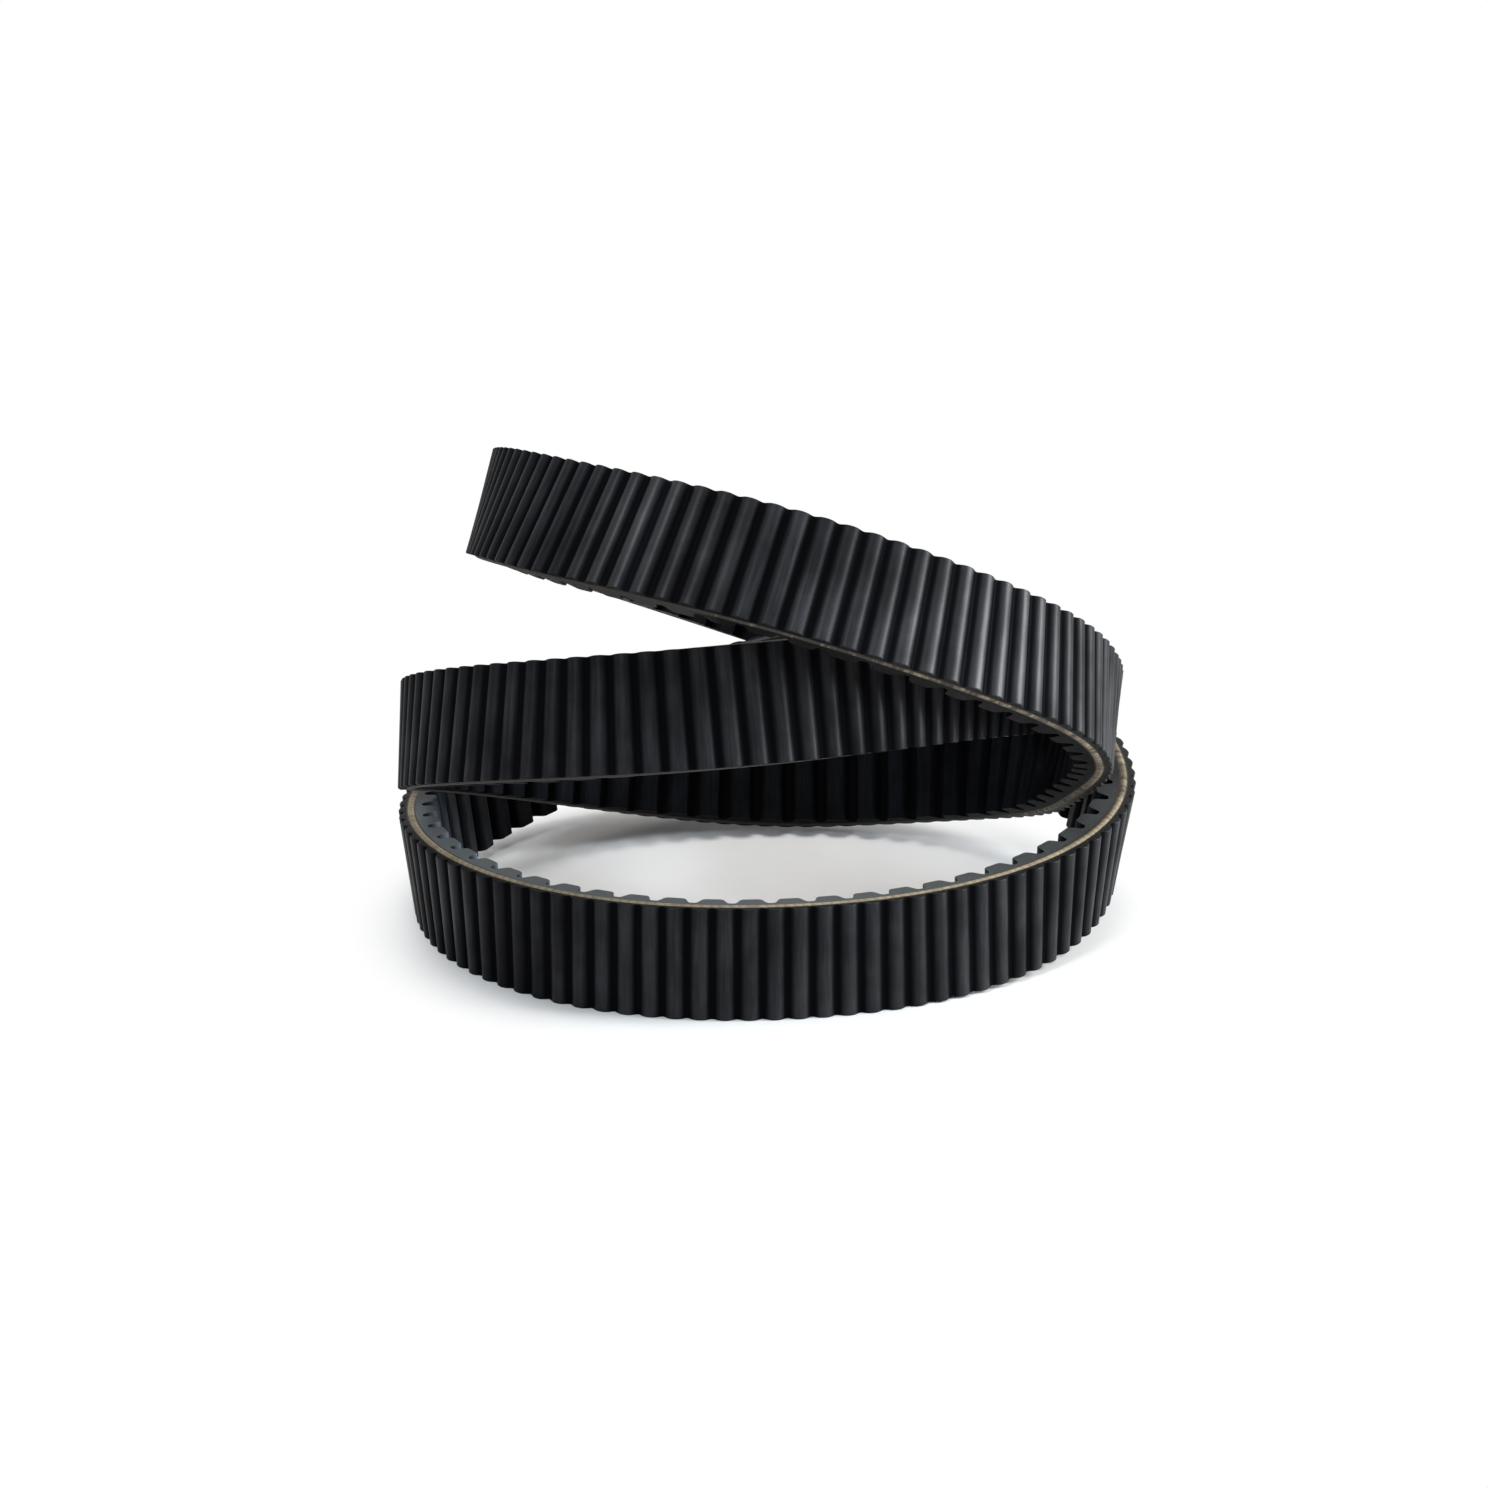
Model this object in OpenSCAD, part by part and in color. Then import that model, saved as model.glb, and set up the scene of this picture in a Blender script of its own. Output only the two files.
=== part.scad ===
// Double-sided cogged rubber drive belt, lying loosely coiled in three loops.
// Millimetres, +Z up. The coil lies on z = 0, and its middle is on the Z axis.
//
// The belt is one endless strip, moulded in layers: rubber with fine ribs on the
// outside, the tensile cord ply between two cushions of soft rubber, and rubber with
// coarse cogs on the inside. ROUTE lays the cord line out, loop after loop, and each
// layer is swept along it.

/* [Belt section] */
// Width of the belt at the tips of the outer ribs
belt_w = 30.2; // [26:0.1:34]
// Slope of each flank, which makes the cogged side the narrower
flank_angle = 2; // [0:0.5:8]
// Height of the outer ribs above their grooves
rib_h = 1.6; // [1:0.1:2]
// Rubber between the grooves and the outer cushion
back_t = 0.65; // [0.4:0.05:1.2]
// Thickness of each cushion
cushion_t = 0.4; // [0.2:0.05:0.8]
// Thickness of the tensile cord ply
cord_t = 1.8; // [1.2:0.1:2.2]
// Rubber between the inner cushion and the roots of the cogs
base_t = 1.95; // [1.4:0.05:2.6]
// Height of the inner cogs above their roots
cog_h = 4; // [3:0.1:5]

/* [Teeth] */
// Groups of teeth round the whole belt, each with 5 ribs outside and 3 cogs inside
tooth_groups = 57; // [45:1:60]
// Share of a rib's pitch that the groove's floor takes
groove_share = 0.12; // [0.06:0.02:0.18]
// Share of a cog's pitch that the gap's floor takes
gap_share = 0.2; // [0.12:0.02:0.28]

/* [Coil] */
// Mean radius of the three loops at the cord line
coil_r = 88.3; // [80:0.1:110]

/* [Hidden] */

RUBBER = [0.13, 0.135, 0.145];
CUSHION = [0.2, 0.2, 0.2];
CORD = [0.6, 0.52, 0.4];

// Heights over the cord line, which is the middle of the cord ply
cord_face = cord_t / 2;
cushion_face = cord_face + cushion_t;
groove_floor = cushion_face + back_t;
rib_tip = groove_floor + rib_h;
cog_root = -cushion_face - base_t;
cog_tip = cog_root - cog_h;
belt_t = rib_tip - cog_tip;

// Ribs and cogs in one group of teeth
RIBS = 5;
COGS = 3;
// Stations of the plain faces between the layers, in each group
PLAIN = 3;

// Lean that lays the lower flank flat on the table
FLAT = -flank_angle;

// The cord line of the three loops, counterclockwise, with a key at each eighth of a turn
// from the near side. A key is [belt thicknesses out from coil_r, belt widths that the
// lowest corner is clear of the table, lean]. The lean, in degrees, tips the upper edge
// outward. A strand that rests on another is about one belt width clear of the table.
FIRST_TURN = -90;
KEY_TURN = 45;
ROUTE = [
    // Down from the high near side of the top loop, by the right, to the table at the back,
    // and up again by the left
    [0.8, 3.69, -34],
    [1.4, 2.47, -24],
    [-0.9, 1.16, 28],
    [0.5, 0.25, 12],
    [-0.2, -0.14, 40],
    [0.2, 0.38, 13],
    [1.8, 1.31, 6],
    [1.4, 2.14, -30],
    // The middle loop: over the near side, inside the top one at the right, and down behind
    // the strand at the back to the table at the left
    [-0.4, 2.44, -14],
    [-2, 2.33, -2],
    [-1.8, 1.87, 0],
    [-0.4, 1.6, -8],
    [1.5, 0.98, -14],
    [3, 0, 4],
    [1.55, 0, 10],
    [0, 0, FLAT],
    // The bottom loop: flat along the near side, then up round the back to the top loop
    [-1.6, 0, FLAT],
    [-1.4, 0, FLAT],
    [0.5, 0.2, 14],
    [1.72, 0.75, 2],
    [3.45, 1.54, 11],
    [1, 2.99, -5],
    [-1.1, 3.5, -15],
    [-0.4, 3.79, -36]
];
KEYS = len(ROUTE);

// Key values at t keys along the route, on a cubic B-spline through the whole loop
function weights(u) = [
    pow(1 - u, 3),
    3 * pow(u, 3) - 6 * u * u + 4,
    -3 * pow(u, 3) + 3 * u * u + 3 * u + 1,
    pow(u, 3)
] / 6;
function blend(t) =
    let (i = floor(t))
    weights(t - i) * [for (k = [-1:2]) ROUTE[(i + k + KEYS) % KEYS]];

// Half of the belt's width at a height over the cord line
function half_w(h) = belt_w / 2 - (rib_tip - h) * tan(flank_angle);

// How far the cord line is above the belt's lowest corner, for a lean
function corner_drop(lean) = max(
    rib_tip * sin(lean) + half_w(rib_tip) * cos(lean),
    cog_tip * sin(lean) + half_w(cog_tip) * cos(lean)
);

// Point of the cord line at t keys along the route
function cord_point(t) =
    let (
        key = blend(t),
        turn = FIRST_TURN + KEY_TURN * t,
        r = coil_r + belt_t * key[0]
    )
    [r * cos(turn), r * sin(turn), belt_w * key[1] + corner_drop(key[2])];

// The belt's frame there: [point, direction across its width, direction outward]
function unit(v) = v / norm(v);
function frame(t) =
    let (
        step = 0.01,
        along = unit(cord_point(t + step) - cord_point(t - step)),
        up = unit([0, 0, 1] - along[2] * along),
        out = cross(along, up),
        lean = blend(t)[2]
    )
    [cord_point(t), up * cos(lean) + out * sin(lean), out * cos(lean) - up * sin(lean)];

// Length along the cord line against t, by which the teeth are spaced evenly
CHORDS = 12;
LENGTHS = [
    for (
        i = 0, run = 0;
        i <= KEYS * CHORDS;
        run = run + norm(cord_point((i + 1) / CHORDS) - cord_point(i / CHORDS)), i = i + 1
    ) [run, i / CHORDS]
];
belt_l = LENGTHS[KEYS * CHORDS][0];

// Face profiles of one group, as [place along the group from 0 to 1, height] points
function plain_face(h) = [for (k = [0:PLAIN - 1]) [k / PLAIN, h]];
function toothed_face(count, tooth, root, tip) = [
    for (k = [0:count - 1]) for (q = tooth)
        [(k + q[0]) / count, root + (tip - root) * q[1]]
];
// A tooth from the start of the gap before it, as [share of pitch, share of height]
rib = [
    [0, 0],
    [groove_share, 0],
    [groove_share + 0.14, 0.6],
    [groove_share + 0.3, 1],
    [0.7, 1],
    [0.86, 0.6]
];
cog = [
    [0, 0],
    [gap_share, 0],
    [gap_share + 0.05, 0.3],
    [gap_share + 0.11, 0.85],
    [gap_share + 0.19, 1],
    [0.81, 1],
    [0.89, 0.85],
    [0.95, 0.3]
];

// Corner points of a face round the whole belt: its upper edge, then its lower edge
function face_points(face) =
    let (
        line = [for (g = [0:tooth_groups - 1]) for (q = face) [g + q[0], q[1]]],
        frames = [for (q = line) frame(lookup(belt_l * q[0] / tooth_groups, LENGTHS))]
    )
    [
        for (side = [1, -1]) for (k = [0:len(line) - 1])
            let (f = frames[k], h = line[k][1])
            f[0] + f[2] * h + f[1] * side * half_w(h)
    ];

// The middle of the coil in plan, which goes on the Z axis
RIB_FACE = toothed_face(RIBS, rib, groove_floor, rib_tip);
COG_FACE = toothed_face(COGS, cog, cog_root, cog_tip);
REACH = face_points(RIB_FACE);
function middle(axis) = let (q = [for (p = REACH) p[axis]]) (min(q) + max(q)) / 2;
MIDDLE = [middle(0), middle(1), 0];

// Triangles that join the edges of two faces along one group, as [edge, i, j]:
// i and j count the points passed on the outer and on the inner edge
function place(face, i) = i < len(face) ? face[i][0] : 1;
function zip(outer, inner, i = 0, j = 0) =
    i == len(outer) && j == len(inner) ? [] :
    j == len(inner) || (i < len(outer) && place(outer, i + 1) <= place(inner, j + 1)) ?
        concat([[0, i, j]], zip(outer, inner, i + 1, j)) :
        concat([[1, i, j]], zip(outer, inner, i, j + 1));

// One layer of the belt between an outer face and an inner face
module layer(outer, inner) {
    a = len(outer) * tooth_groups;
    b = len(inner) * tooth_groups;
    joins = zip(outer, inner);
    // Indices of points on the outer face and on the inner one; low is 1 on the lower edge
    function o(k, low) = k % a + low * a;
    function n(k, low) = 2 * a + k % b + low * b;
    across = concat(
        [for (k = [0:a - 1]) each [
            [o(k, 1), o(k, 0), o(k + 1, 0)],
            [o(k, 1), o(k + 1, 0), o(k + 1, 1)]
        ]],
        [for (k = [0:b - 1]) each [
            [n(k, 1), n(k + 1, 0), n(k, 0)],
            [n(k, 1), n(k + 1, 1), n(k + 1, 0)]
        ]]
    );
    flanks = [
        for (g = [0:tooth_groups - 1]) for (t = joins)
            let (i = g * len(outer) + t[1], j = g * len(inner) + t[2])
            each t[0] == 0 ?
                [[o(i, 0), n(j, 0), o(i + 1, 0)], [o(i, 1), o(i + 1, 1), n(j, 1)]] :
                [[o(i, 0), n(j, 0), n(j + 1, 0)], [o(i, 1), n(j + 1, 1), n(j, 1)]]
    ];
    translate(-MIDDLE)
        polyhedron(
            points = concat(face_points(outer), face_points(inner)),
            faces = concat(across, flanks)
        );
}

// Rubber back with the fine ribs
module ribbed_back() {
    color(RUBBER) layer(RIB_FACE, plain_face(cushion_face));
}

// Soft rubber that bonds the cords to the back
module outer_cushion() {
    color(CUSHION) layer(plain_face(cushion_face), plain_face(cord_face));
}

// The tensile cords, wound side by side
module cord_ply() {
    color(CORD) layer(plain_face(cord_face), plain_face(-cord_face));
}

// Soft rubber that bonds the cords to the base
module inner_cushion() {
    color(CUSHION) layer(plain_face(-cord_face), plain_face(-cushion_face));
}

// Rubber base with the coarse cogs
module cogged_base() {
    color(RUBBER) layer(plain_face(-cushion_face), COG_FACE);
}

ribbed_back();
outer_cushion();
cord_ply();
inner_cushion();
cogged_base();
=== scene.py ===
"""The looks of a coiled, double-sided cogged rubber belt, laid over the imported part.

The five bonded layers are swept again along the same route as the solids, with rounded
ribs and cogs, and each one stands for its solid. Lengths are in metres.
"""

import math

import bpy
import numpy as np
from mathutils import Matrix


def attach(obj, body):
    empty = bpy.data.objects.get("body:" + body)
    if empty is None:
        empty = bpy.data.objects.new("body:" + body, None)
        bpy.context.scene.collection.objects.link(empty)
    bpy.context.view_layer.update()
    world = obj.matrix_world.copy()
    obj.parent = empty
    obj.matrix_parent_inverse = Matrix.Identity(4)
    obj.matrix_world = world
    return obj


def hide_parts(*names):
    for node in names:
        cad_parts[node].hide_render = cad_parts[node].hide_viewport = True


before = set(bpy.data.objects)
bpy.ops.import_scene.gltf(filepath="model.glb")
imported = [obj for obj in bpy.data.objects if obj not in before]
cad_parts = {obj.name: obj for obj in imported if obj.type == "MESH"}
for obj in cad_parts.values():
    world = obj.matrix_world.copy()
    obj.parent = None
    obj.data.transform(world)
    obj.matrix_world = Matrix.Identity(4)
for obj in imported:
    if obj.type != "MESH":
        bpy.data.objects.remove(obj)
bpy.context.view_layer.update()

MM = 0.001

# ---------------------------------------------------------------- sizes, as in the solids

BELT_W = 30.2 * MM
FLANK_ANGLE = 2.0
RIB_H = 1.6 * MM
BACK_T = 0.65 * MM
CUSHION_T = 0.4 * MM
CORD_T = 1.8 * MM
BASE_T = 1.95 * MM
COG_H = 4.0 * MM
TOOTH_GROUPS = 57
GROOVE_SHARE = 0.12
GAP_SHARE = 0.2
COIL_R = 88.3 * MM

CORD_FACE = CORD_T / 2
CUSHION_FACE = CORD_FACE + CUSHION_T
GROOVE_FLOOR = CUSHION_FACE + BACK_T
RIB_TIP = GROOVE_FLOOR + RIB_H
COG_ROOT = -CUSHION_FACE - BASE_T
COG_TIP = COG_ROOT - COG_H
BELT_T = RIB_TIP - COG_TIP

# Ribs and cogs in one group of teeth
RIBS = 5
COGS = 3

# Lean that lays the lower flank flat on the table
FLAT = -FLANK_ANGLE
FIRST_TURN = -90
KEY_TURN = 45
# Chords between two keys, by which the length along the route is measured
CHORDS = 12
# Thicknesses out from COIL_R, widths clear of the table, and lean, for each eighth of a
# turn. The keys began as a fit to the edges in the photo, and were rounded and reworked.
ROUTE = np.array([
    # The top loop
    (0.8, 3.69, -34),
    (1.4, 2.47, -24),
    (-0.9, 1.16, 28),
    (0.5, 0.25, 12),
    (-0.2, -0.14, 40),
    (0.2, 0.38, 13),
    (1.8, 1.31, 6),
    (1.4, 2.14, -30),
    # The middle loop
    (-0.4, 2.44, -14),
    (-2, 2.33, -2),
    (-1.8, 1.87, 0),
    (-0.4, 1.6, -8),
    (1.5, 0.98, -14),
    (3, 0, 4),
    (1.55, 0, 10),
    (0, 0, FLAT),
    # The bottom loop
    (-1.6, 0, FLAT),
    (-1.4, 0, FLAT),
    (0.5, 0.2, 14),
    (1.72, 0.75, 2),
    (3.45, 1.54, 11),
    (1, 2.99, -5),
    (-1.1, 3.5, -15),
    (-0.4, 3.79, -36),
])
KEYS = len(ROUTE)

# ---------------------------------------------------------------- the route of the cord line


def blend(t):
    """Key values at t keys along the route, one row for each."""
    i = np.floor(t).astype(int)
    u = (t - i)[:, None]
    weights = (
        (1 - u) ** 3,
        3 * u**3 - 6 * u**2 + 4,
        -3 * u**3 + 3 * u**2 + 3 * u + 1,
        u**3,
    )
    return sum(w * ROUTE[(i + k - 1) % KEYS] for k, w in enumerate(weights)) / 6


def half_w(h):
    """Half of the belt's width at a height over the cord line."""
    return BELT_W / 2 - (RIB_TIP - h) * math.tan(math.radians(FLANK_ANGLE))


def cord_points(t):
    """Points of the cord line at t keys along the route, one row for each."""
    out, clear, lean = blend(t).T
    lean = np.radians(lean)
    turn = np.radians(FIRST_TURN + KEY_TURN * t)
    r = COIL_R + BELT_T * out
    drop = np.maximum(
        RIB_TIP * np.sin(lean) + half_w(RIB_TIP) * np.cos(lean),
        COG_TIP * np.sin(lean) + half_w(COG_TIP) * np.cos(lean),
    )
    return np.stack([r * np.cos(turn), r * np.sin(turn), BELT_W * clear + drop], 1)


def unit(v):
    """Rows scaled to length 1."""
    return v / np.linalg.norm(v, axis=1, keepdims=True)


def frames(t):
    """Points of the cord line, and the directions across the belt and outward there."""
    step = 0.01
    along = unit(cord_points(t + step) - cord_points(t - step))
    up = unit(np.array([0, 0, 1.0]) - along[:, 2:] * along)
    out = np.cross(along, up)
    lean = np.radians(blend(t)[:, 2:])
    return (
        cord_points(t),
        up * np.cos(lean) + out * np.sin(lean),
        out * np.cos(lean) - up * np.sin(lean),
    )


chord_t = np.arange(KEYS * CHORDS + 1) / CHORDS
chord_run = np.concatenate(
    [[0], np.cumsum(np.linalg.norm(np.diff(cord_points(chord_t), axis=0), axis=1))]
)
BELT_L = chord_run[-1]


def at_share(share):
    """Frames at shares of the belt's length."""
    return frames(np.interp(share * BELT_L, chord_run, chord_t))


def even_shares(count):
    """Shares of the belt's length at so many stations, spaced evenly."""
    return np.arange(count) / count


def along_belt(table, share):
    """Values at shares of the belt's length, from (24ths of the length, value) pairs."""
    return np.interp(share * KEYS, *zip(*table))


# A tooth from the start of the gap before it: shares of its pitch, and of its height
RIB = (
    (0, GROOVE_SHARE, GROOVE_SHARE + 0.14, GROOVE_SHARE + 0.3, 0.7, 0.86, 1),
    (0, 0, 0.6, 1, 1, 0.6, 0),
)
COG = (
    (0, GAP_SHARE, GAP_SHARE + 0.05, GAP_SHARE + 0.11, GAP_SHARE + 0.19, 0.81, 0.89, 0.95, 1),
    (0, 0, 0.3, 0.85, 1, 1, 0.85, 0.3, 0),
)


def rib_corners():
    """Corners of the solid ribs, from which the solids' middle is found."""
    places = np.array(RIB[0][:-1])
    share = (np.arange(TOOTH_GROUPS * RIBS)[:, None] + places).ravel()
    h = GROOVE_FLOOR + RIB_H * np.tile(RIB[1][:-1], TOOTH_GROUPS * RIBS)
    point, across, out = at_share(share / (TOOTH_GROUPS * RIBS))
    edge = [point + out * h[:, None] + across * (side * half_w(h))[:, None] for side in (1, -1)]
    return np.concatenate(edge)


corners = rib_corners()
MIDDLE = (corners.min(0) + corners.max(0)) / 2 * np.array([1, 1, 0])

# ---------------------------------------------------------------- swept layers

# Materials of a facet: on a face, or on a flank
FACE, FLANK = 0, 1
# How far the edges between face and flank are broken
EDGE = 0.3 * MM
# The least share of EDGE that is left down in the grooves
GROOVE_EDGE = 0.35
# How far the cord ply stands out from the flanks
PROUD = 0.4 * MM
# The cord's bulge from its outer to its inner edge, as shares of PROUD
BULGE = (0.0, 0.7, 1.0, 0.7, 0.0)
# Places across a toothed face, from one edge to the other
ACROSS = (1, 0.5, 0, -0.5, -1)
STATIONS_PER_RIB = 16
STATIONS_PER_COG = 24
PLAIN_STATIONS = 18
# Share of the pitch on each side over which a tooth's corners are rounded off
RIB_SOFT = 0.11
COG_SOFT = 0.035
SOFT_SAMPLES = 9
SHARP_ANGLE = 50


def soft_tooth(tooth, place, soft):
    """Height share of a tooth at places along its pitch, with its corners rounded off."""
    nudges = np.linspace(-soft, soft, SOFT_SAMPLES)
    return np.mean([np.interp((place + d) % 1, *tooth) for d in nudges], axis=0)


def sweep(name, share, ring, materials, sheen_and_painted_light=1.0):
    """A closed strip round the belt, as one mesh.

    ring is a list of (height, side, material, crest): heights over the cord line and
    sides across the belt, one for each station or one for all, the material of the
    facet that follows the point, and how far up its tooth the point is. The last
    argument is how glossy each station is, against the rest; high values also bring
    painted light, a pale haze.
    """
    n, k = len(share), len(ring)
    point, across, out = at_share(share)
    height = np.stack([np.broadcast_to(q[0], n) for q in ring], 1)
    side = np.stack([np.broadcast_to(q[1], n) for q in ring], 1)
    crest = np.stack([np.broadcast_to(q[3], n) for q in ring], 1)
    facet = np.array([q[2] for q in ring])
    co = point[:, None] + out[:, None] * height[..., None] + across[:, None] * side[..., None]
    co = (co - MIDDLE).reshape(-1, 3)

    i, j = np.meshgrid(np.arange(n), np.arange(k), indexing="ij")
    i2, j2 = (i + 1) % n, (j + 1) % k
    quads = np.stack([i * k + j, i * k + j2, i2 * k + j2, i2 * k + j], -1).reshape(-1, 4)

    mesh = bpy.data.meshes.new(name)
    mesh.from_pydata(co.tolist(), [], quads.tolist())
    mesh.polygons.foreach_set("material_index", facet[j].ravel())
    mesh.polygons.foreach_set("use_smooth", np.ones(n * k, bool))

    # Texture places in metres: along the belt, and across it or up its flank
    run = np.append(share, 1) * BELT_L
    flank = np.isclose(side, np.sign(side) * half_w(height), atol=1e-7)
    on_flank = (flank & np.roll(flank, -1, 1)) & (np.sign(side) == np.sign(np.roll(side, -1, 1)))
    v_here = np.where(on_flank, height, side)
    v_next = np.where(on_flank, np.roll(height, -1, 1), np.roll(side, -1, 1))
    u_here, u_next = run[i], run[i + 1]
    uv = np.stack(
        [
            np.stack([u_here, v_here], -1),
            np.stack([u_here, v_next], -1),
            np.stack([u_next, np.roll(v_next, -1, 0)], -1),
            np.stack([u_next, np.roll(v_here, -1, 0)], -1),
        ],
        2,
    )
    mesh.uv_layers.new(name="run").data.foreach_set("uv", uv.ravel())
    mesh.attributes.new("crest", "FLOAT", "POINT").data.foreach_set("value", crest.ravel())
    point_sheen_and_light = np.repeat(np.broadcast_to(sheen_and_painted_light, n), k)
    mesh.attributes.new("sheen_and_painted_light", "FLOAT", "POINT").data.foreach_set("value", point_sheen_and_light)
    for material in materials:
        mesh.materials.append(material)
    mesh.set_sharp_from_angle(angle=math.radians(SHARP_ANGLE))
    mesh.update()

    piece = bpy.data.objects.new(name, mesh)
    bpy.context.scene.collection.objects.link(piece)
    weigh = piece.modifiers.new("even_normals", "WEIGHTED_NORMAL")
    weigh.keep_sharp = True
    weigh.weight = 100
    return piece


def toothed_ring(h, crest, sign, back):
    """Ring of a toothed layer: h is its toothed face, sign 1 outside and -1 inside."""
    soft = EDGE * np.clip(crest, GROOVE_EDGE, 1)
    rim = h - sign * soft
    edge = half_w(h) - soft
    ring = [
        (rim, half_w(rim), FACE, crest),
        *[(h, edge * place, FACE, crest) for place in ACROSS],
        (rim, -half_w(rim), FLANK, crest),
        (back, -half_w(back), FACE, 0.5),
        (back, half_w(back), FLANK, 0.5),
    ]
    if sign < 0:
        # Outside in: the same loop, walked the other way
        order = list(reversed(range(len(ring))))
        ring = [
            (ring[a][0], ring[a][1], ring[b][2], ring[a][3])
            for a, b in zip(order, order[1:] + order[:1])
        ]
    return ring


def plain_ring(high, low, unshaded, proud=0.0, lower_proud=0.0):
    """Ring of a layer with two plain faces. Its flanks bulge out by proud and lower_proud.

    The third argument is how far the flanks are free of painted shade. It takes the crest's
    place.
    """
    steps = np.linspace(high, low, len(BULGE))
    down = [(h, -half_w(h) - lower_proud * r, FLANK, unshaded) for h, r in zip(steps, BULGE)]
    up = [(h, half_w(h) + proud * r, FLANK, unshaded) for h, r in zip(steps, BULGE)][::-1]
    # The facet after the last point of each flank is the face to the next layer
    down[-1] = down[-1][:2] + (FACE, unshaded)
    up[-1] = up[-1][:2] + (FACE, unshaded)
    return down + up


# ---------------------------------------------------------------- materials

# Painted shade: the near-black colour laid into the grooves between ribs and between cogs
GROOVE_SHADE = (0.0028, 0.0028, 0.0035)
# Painted light: a pale bluish haze over crests that stand in light
PAINTED_LIGHT_HAZE = (0.085, 0.11, 0.135)
# Partly painted light on the lit flanks where the belt lies on the table, partly dust on one
# lower flank
FLANK_LIGHT_AND_DUST = (0.086, 0.092, 0.094)
# The sheen above which a pale haze shows: painted light, and on one lower flank also dust
HAZE_FROM_SHEEN = 1.5
PITS = (0.13, 0.095, 0.06)
STAIN = (0.09, 0.072, 0.05)
# Painted shade on the cord, dark and patchy
CORD_SHADE = (0.022, 0.018, 0.015)


class Nodes:
    """A short way to write a material's nodes."""

    def __init__(self, name):
        self.material = bpy.data.materials.new(name)
        self.material.use_nodes = True
        self.tree = self.material.node_tree
        self.tree.nodes.clear()
        self.shader = self.add("ShaderNodeBsdfPrincipled")
        output = self.add("ShaderNodeOutputMaterial")
        self.join(self.shader.outputs["BSDF"], output.inputs["Surface"])

    def add(self, kind, **values):
        node = self.tree.nodes.new(kind)
        for key, value in values.items():
            setattr(node, key, value)
        return node

    def join(self, source, target):
        self.tree.links.new(source, target)

    def place(self, along=1.0, across=1.0):
        """Texture places, stretched: a scale along the belt and one across it."""
        uv = self.add("ShaderNodeUVMap", uv_map="run")
        mapping = self.add("ShaderNodeMapping")
        mapping.inputs["Scale"].default_value = (along, across, 1)
        self.join(uv.outputs["UV"], mapping.inputs["Vector"])
        return mapping.outputs["Vector"]

    def noise(self, vector, scale, detail=3.0, rough=0.5):
        node = self.add("ShaderNodeTexNoise")
        node.inputs["Scale"].default_value = scale
        node.inputs["Detail"].default_value = detail
        node.inputs["Roughness"].default_value = rough
        self.join(vector, node.inputs["Vector"])
        return node.outputs["Fac"]

    def ramp(self, factor, *stops):
        """Maps a factor through (place, value or colour) stops."""
        node = self.add("ShaderNodeValToRGB")
        elements = node.color_ramp.elements
        while len(elements) < len(stops):
            elements.new(0.5)
        for element, (place, value) in zip(elements, stops):
            element.position = place
            colour = value if isinstance(value, tuple) else (value,) * 3
            element.color = (*colour, 1)
        self.join(factor, node.inputs["Fac"])
        return node.outputs["Color"]

    def fill(self, sockets, values):
        """Fills each socket with a number, a colour or another node's output."""
        for socket, value in zip(sockets, values):
            if isinstance(value, (int, float)):
                socket.default_value = value
            elif isinstance(value, tuple):
                socket.default_value = (*value, 1)
            else:
                self.join(value, socket)

    def math(self, operation, a, b):
        node = self.add("ShaderNodeMath", operation=operation)
        self.fill(node.inputs, (a, b))
        return node.outputs["Value"]

    def product(self, first, *others):
        for other in others:
            first = self.math("MULTIPLY", first, other)
        return first

    def mix(self, factor, a, b):
        """Mixes two colours, by the mix node's colour sockets."""
        node = self.add("ShaderNodeMix", data_type="RGBA")
        self.fill((node.inputs[0], node.inputs[6], node.inputs[7]), (factor, a, b))
        return node.outputs[2]

    def attribute(self, name):
        return self.add("ShaderNodeAttribute", attribute_name=name).outputs["Fac"]

    def lit_and_dusty_haze(self, strength):
        """How strong the pale haze is here: painted light, and on one lower flank also dust."""
        return self.product(self.math("SUBTRACT", self.attribute("sheen_and_painted_light"), HAZE_FROM_SHEEN), strength)

    def bump(self, height, strength, distance, normal=None):
        node = self.add("ShaderNodeBump")
        node.inputs["Strength"].default_value = strength
        node.inputs["Distance"].default_value = distance
        self.join(height, node.inputs["Height"])
        if normal is not None:
            self.join(normal, node.inputs["Normal"])
        return node.outputs["Normal"]

    def finish(self, colour, roughness, normal, specular=None, plain_specular=None):
        """Joins what varies to the shader.

        plain_specular is the one value that an export without the specular nodes keeps.
        """
        for value, name in ((colour, "Base Color"), (roughness, "Roughness"), (normal, "Normal")):
            self.join(value, self.shader.inputs[name])
        if specular is not None:
            self.shader.inputs["Specular IOR Level"].default_value = plain_specular
            self.join(specular, self.shader.inputs["Specular IOR Level"])
        return self.material


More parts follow.
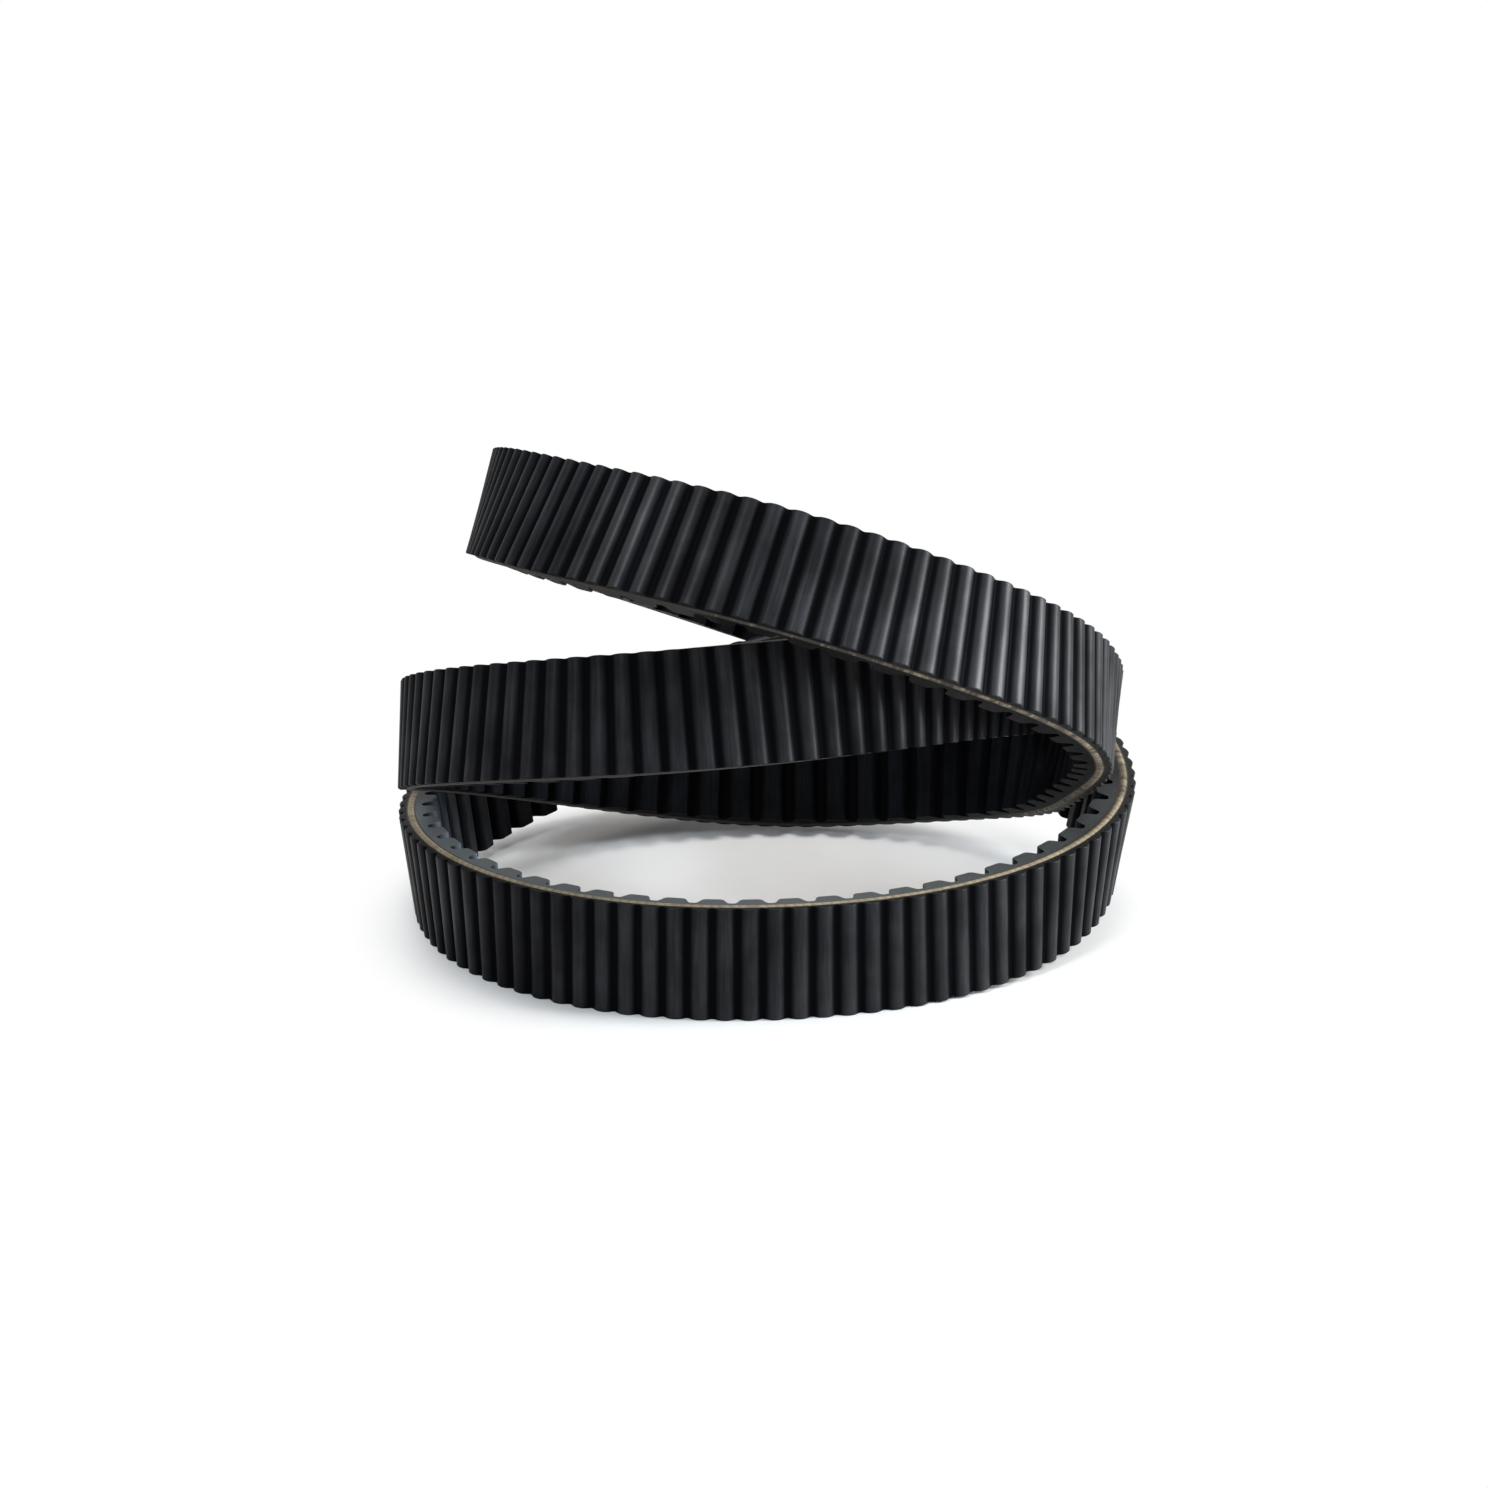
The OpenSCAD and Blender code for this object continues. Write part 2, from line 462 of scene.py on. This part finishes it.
def moulded_rubber(name, dark, bloom, gloss):
    """Rubber as it leaves the mould: near-black, with a bluish bloom on the crests, painted shade
    in the grooves, and painted light as a pale haze where the sheen is highest.
    """
    m = Nodes(name)
    patches = m.noise(m.place(), 26, 4, 0.6)
    lines = m.noise(m.place(1, 0.05), 1500, 3, 0.6)
    shine = m.noise(m.place(1, 0.3), 120, 3)
    grain = m.noise(m.place(), 3800, 2)
    crest = m.attribute("crest")
    # Bloom gathers in patches and fine lines on the crests; painted shade makes the grooves near
    # black
    film = m.product(
        m.ramp(patches, (0.36, 0.1), (0.66, 1.0)),
        m.ramp(lines, (0.35, 0.25), (0.68, 1.0)),
    )
    colour = m.mix(film, dark, bloom)
    colour = m.mix(m.ramp(crest, (0.25, 0.0), (0.85, 1.0)), GROOVE_SHADE, colour)
    # Where the sheen is highest, painted light lies as a pale bluish haze over the crests
    haze = m.product(m.lit_and_dusty_haze(0.3), lines, m.ramp(crest, (0.2, 0.1), (0.8, 1.0)))
    colour = m.mix(m.ramp(haze, (0.0, 0.0), (0.6, 1.0)), colour, PAINTED_LIGHT_HAZE)
    roughness = m.math("ADD", m.ramp(shine, (0.3, 0.32), (0.7, 0.42)), m.product(lines, 0.08))
    normal = m.bump(grain, 0.15, 0.00006)
    normal = m.bump(lines, 0.3, 0.0001, normal)
    # The crests are burnished and the grooves dull. Both are duller at a grazing look,
    # where plain gloss would show too much of the pale room.
    facing = m.add("ShaderNodeLayerWeight").outputs["Facing"]
    specular = m.product(
        m.ramp(crest, (0.4, 0.04), (0.97, 1.0)),
        m.ramp(facing, (0.55, 1.0), (0.95, 0.4)),
        m.attribute("sheen_and_painted_light"),
        m.ramp(patches, (0.38, 0.45), (0.64, 1.0)),
        m.ramp(shine, (0.36, 0.55), (0.6, 1.0)),
        gloss,
    )
    return m.finish(colour, roughness, normal, specular, gloss / 2)


def cut_rubber(name, dark, dust, painted_shade=False):
    """The belt's cut flank: ground rubber with fine marks along it and a little dust.

    With the last argument set, painted shade hides the dust wherever the flank's unshaded share,
    read from crest, is low.
    """
    m = Nodes(name)
    marks = m.noise(m.place(0.08, 1), 5200, 3)
    grit = m.noise(m.place(), 1500, 4, 0.65)
    patches = m.noise(m.place(), 60, 3)
    film = m.product(
        m.ramp(grit, (0.42, 0.1), (0.68, 1.0)),
        m.ramp(patches, (0.35, 0.35), (0.7, 1.0)),
    )
    # Painted shade: on the cushions the dust fades where they lie in shade
    if painted_shade:
        film = m.product(film, m.attribute("crest"))
    colour = m.mix(film, dark, dust)
    # Where the sheen is highest, a pale haze: painted light on lit flanks, and dust on one lower
    # flank
    haze = m.product(m.lit_and_dusty_haze(0.5), grit)
    colour = m.mix(m.ramp(haze, (0.0, 0.0), (0.4, 1.0)), colour, FLANK_LIGHT_AND_DUST)
    roughness = m.ramp(marks, (0.3, 0.48), (0.7, 0.66))
    normal = m.bump(marks, 0.3, 0.00006)
    normal = m.bump(grit, 0.25, 0.0001, normal)
    specular = m.product(m.math("MINIMUM", m.attribute("sheen_and_painted_light"), 1.0), 0.08)
    return m.finish(colour, roughness, normal, specular, 0.05)


def cut_cord(name):
    """The outermost cord, cut along: twisted tan yarn with rubber in the lay."""
    m = Nodes(name)
    twist = m.add("ShaderNodeTexWave", wave_type="BANDS", bands_direction="DIAGONAL")
    twist.inputs["Scale"].default_value = 260
    twist.inputs["Distortion"].default_value = 2.5
    twist.inputs["Detail"].default_value = 2
    m.join(m.place(1, 0.9), twist.inputs["Vector"])
    fibre = m.noise(m.place(0.5, 2), 3000, 3, 0.6)
    stain = m.noise(m.place(), 130, 4, 0.6)
    yarn = m.ramp(fibre, (0.3, (0.17, 0.13, 0.08)), (0.7, (0.36, 0.295, 0.19)))
    colour = m.mix(m.ramp(twist.outputs["Fac"], (0.0, 0.45), (0.4, 1.0)), PITS, yarn)
    colour = m.mix(m.ramp(stain, (0.46, 0.0), (0.68, 0.7)), colour, STAIN)
    # Painted shade: a dark patchy colour over the cord where its unshaded share, read from crest,
    # is low
    cord_shade = m.math("SUBTRACT", m.noise(m.place(), 420, 5, 0.7), m.attribute("crest"))
    colour = m.mix(m.ramp(cord_shade, (0.0, 0.0), (0.25, 1.0)), colour, CORD_SHADE)
    roughness = m.ramp(fibre, (0.3, 0.7), (0.7, 0.86))
    normal = m.bump(twist.outputs["Fac"], 0.4, 0.00015)
    normal = m.bump(fibre, 0.3, 0.00006, normal)
    return m.finish(colour, roughness, normal)


rib_rubber = moulded_rubber("rib_rubber", (0.005, 0.005, 0.0055), (0.021, 0.0225, 0.026), 0.30)
# Painted shade: the cogs' rubber is a darker copy of the ribs', for the coil's shaded inside that
# they face
cog_rubber_shaded = moulded_rubber("cog_rubber_shaded", (0.003, 0.003, 0.0035), (0.011, 0.0125, 0.0155), 0.08)
flank_rubber = cut_rubber("flank_rubber", (0.005, 0.005, 0.005), (0.022, 0.022, 0.022))
cushion_rubber = cut_rubber("cushion_rubber", (0.028, 0.022, 0.016), (0.15, 0.113, 0.073), True)
cord_yarn = cut_cord("cord_yarn")

# ---------------------------------------------------------------- the pieces

# The tables go by 24ths of the belt's length, about one for each key of the route.
# How glossy the crests of the ribs and cogs are, and where a pale haze shows: painted light, and
# on one lower flank dust
RIB_SHEEN_AND_LIGHT = (
    (0, 0.4), (0.3, 0.8), (0.6, 1.5), (1, 1.05), (2, 1.1), (3, 0.8), (6, 0.2), (8, 0.4),
    (9, 1.2), (10, 1), (15, 0.6), (16, 0.65), (17, 1.1), (18, 1.4), (20, 0.6), (22, 0.15),
    (23.2, 0.25), (23.5, 1.8), (23.8, 0.6), (24, 0.4),
)
COG_SHEEN_AND_LIGHT = (
    (0, 0.6), (1.5, 0.15), (6, 0.15), (12, 0.2), (13.8, 2), (14.4, 5), (15.2, 5), (16, 3),
    (17.5, 2.2), (18.2, 0.5), (22, 0.8), (23, 2), (23.7, 2), (24, 0.6),
)
# How far the cord and cushions on the flanks are free of painted shade: elsewhere painted shade
# darkens them in patches
UNSHADED = (
    (0, 0.2), (0.6, 0.28), (1, 0.35), (2, 0.36), (2.6, 0.36), (3.2, 0.1), (5.5, 0.05),
    (6.2, 0.2), (7, 0.12), (9, 0.05), (13, 0.1), (14, 0.45), (15, 0.6), (16.8, 1),
    (17.6, 0.37), (21, 0.36), (22, 0.1), (24, 0.2),
)

rib_share = even_shares(TOOTH_GROUPS * RIBS * STATIONS_PER_RIB)
rib_crest = soft_tooth(RIB, rib_share * TOOTH_GROUPS * RIBS % 1, RIB_SOFT)
cog_share = even_shares(TOOTH_GROUPS * COGS * STATIONS_PER_COG)
cog_crest = soft_tooth(COG, cog_share * TOOTH_GROUPS * COGS % 1, COG_SOFT)
plain_share = even_shares(TOOTH_GROUPS * PLAIN_STATIONS)
unshaded = along_belt(UNSHADED, plain_share)

back = sweep(
    "belt_back",
    rib_share,
    toothed_ring(GROOVE_FLOOR + RIB_H * rib_crest, rib_crest, 1, CUSHION_FACE),
    [rib_rubber, flank_rubber],
    along_belt(RIB_SHEEN_AND_LIGHT, rib_share),
)
upper_bond = sweep(
    "outer_bond",
    plain_share,
    plain_ring(CUSHION_FACE, CORD_FACE, unshaded),
    [cushion_rubber] * 2,
)
# The cord ply stands a little proud of the flanks, but not where it would cut the table
cord_point, cord_across, _ = at_share(plain_share)
under = cord_point - cord_across * half_w(CORD_FACE)
lower_proud = np.clip(under[:, 2] - PROUD / 4, 0, PROUD)
cords = sweep(
    "cord_line",
    plain_share,
    plain_ring(CORD_FACE, -CORD_FACE, unshaded, PROUD, lower_proud),
    [cord_yarn] * 2,
)
lower_bond = sweep(
    "inner_bond",
    plain_share,
    plain_ring(-CORD_FACE, -CUSHION_FACE, unshaded),
    [cushion_rubber] * 2,
)
base = sweep(
    "belt_base",
    cog_share,
    toothed_ring(COG_ROOT - COG_H * cog_crest, cog_crest, -1, -CUSHION_FACE),
    [cog_rubber_shaded, flank_rubber],
    along_belt(COG_SHEEN_AND_LIGHT, cog_share),
)

for piece, node, slot in (
    (back, "ribbed_back", "back_rubber"),
    (upper_bond, "outer_cushion", "cushion_rubber"),
    (cords, "cord_ply", "cord"),
    (lower_bond, "inner_cushion", "cushion_rubber"),
    (base, "cogged_base", "base_rubber"),
):
    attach(piece, "root")
    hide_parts(node)

# ---------------------------------------------------------------- floor, light and camera

FLOOR_SIZE = 12
FLOOR_LOW = (0.86, 0.845, 0.83)
FLOOR_HIGH = (0.88, 0.865, 0.85)
# Distances from the coil's middle at which the floor's shading starts to fade, and is gone
FADE = (0.095, 0.120)
# What the lamps point at
AIM = np.array([0, 0, 0.05])
WHITE = (1, 1, 1, 1)
# Strength of the room's light, and of the white background that shows
ROOM_LIGHT = 0.28
BACKGROUND = 1.0
CAMERA_AT = (-0.0065, -0.7427, 0.2646)
CAMERA_TILT = 16.14
LENS = 65.6
SENSOR = 36


def shows_background(tree):
    """1 for the rays that show the background: the camera's, and those by gloss or glass."""
    path = tree.nodes.new("ShaderNodeLightPath")
    result = path.outputs["Is Camera Ray"]
    for ray in ("Is Glossy Ray", "Is Transmission Ray"):
        larger = tree.nodes.new("ShaderNodeMath")
        larger.operation = "MAXIMUM"
        tree.links.new(result, larger.inputs[0])
        tree.links.new(path.outputs[ray], larger.inputs[1])
        result = larger.outputs["Value"]
    return result


def floor_material():
    """A pale table that keeps its shading in and near the coil, and is plain white beyond."""
    m = Nodes("floor_white")
    place = m.add("ShaderNodeTexCoord").outputs["Object"]
    mottle = m.noise(place, 30, 3)
    colour = m.ramp(mottle, (0.4, FLOOR_LOW), (0.6, FLOOR_HIGH))
    roughness = m.ramp(mottle, (0.4, 0.6), (0.6, 0.66))
    m.join(colour, m.shader.inputs["Base Color"])
    m.join(roughness, m.shader.inputs["Roughness"])
    m.shader.inputs["Specular IOR Level"].default_value = 0.2
    away = m.add("ShaderNodeVectorMath", operation="LENGTH")
    m.join(place, away.inputs[0])
    beyond = m.ramp(away.outputs["Value"], (FADE[0], 0.0), (FADE[1], 1.0))
    white = m.add("ShaderNodeEmission")
    choose = m.add("ShaderNodeMixShader")
    m.join(m.math("MULTIPLY", beyond, shows_background(m.tree)), choose.inputs["Fac"])
    m.join(m.shader.outputs["BSDF"], choose.inputs[1])
    m.join(white.outputs["Emission"], choose.inputs[2])
    m.join(choose.outputs["Shader"], m.tree.nodes["Material Output"].inputs["Surface"])
    return m.material


bpy.ops.mesh.primitive_plane_add(size=FLOOR_SIZE, location=(0, 0, 0))
floor = bpy.context.object
floor.name = "floor"
floor.data.materials.append(floor_material())


def softbox(name, place, size, power, colour):
    """A rectangular lamp that points at the coil."""
    data = bpy.data.lights.new(name, "AREA")
    data.shape = "RECTANGLE"
    data.size, data.size_y = size
    data.energy = power
    data.color = colour
    lamp = bpy.data.objects.new(name, data)
    bpy.context.scene.collection.objects.link(lamp)
    lamp.location = place
    way = AIM - np.array(place)
    lamp.rotation_euler = (
        math.atan2(math.hypot(way[0], way[1]), -way[2]),
        0,
        math.atan2(way[1], way[0]) - math.pi / 2,
    )
    return lamp


softbox("key_right", (1.34, -0.15, 0.7), (0.5, 0.95), 32, (0.93, 0.97, 1.0))
softbox("low_right", (1.2, -0.5, 0.15), (0.5, 0.22), 12, (0.88, 0.95, 1.0))
softbox("fill_left", (-0.62, -0.97, 1.1), (0.3, 0.45), 12, (0.82, 0.92, 1.0))
softbox("top", (-0.1, 0.05, 1.6), (0.8, 0.8), 14, (1.0, 0.99, 0.98))

world = bpy.data.worlds.new("studio")
bpy.context.scene.world = world
world.use_nodes = True
tree = world.node_tree
tree.nodes.clear()
choose = tree.nodes.new("ShaderNodeMixShader")
output = tree.nodes.new("ShaderNodeOutputWorld")
tree.links.new(shows_background(tree), choose.inputs["Fac"])
for socket, strength in ((1, ROOM_LIGHT), (2, BACKGROUND)):
    white = tree.nodes.new("ShaderNodeBackground")
    white.inputs["Color"].default_value = WHITE
    white.inputs["Strength"].default_value = strength
    tree.links.new(white.outputs["Background"], choose.inputs[socket])
tree.links.new(choose.outputs["Shader"], output.inputs["Surface"])

camera_data = bpy.data.cameras.new("camera")
camera_data.sensor_width = SENSOR
camera_data.lens = LENS
camera = bpy.data.objects.new("camera", camera_data)
bpy.context.scene.collection.objects.link(camera)
camera.location = CAMERA_AT
camera.rotation_euler = (math.radians(90 - CAMERA_TILT), 0, 0)
bpy.context.scene.camera = camera

bpy.context.scene.view_settings.view_transform = "Standard"
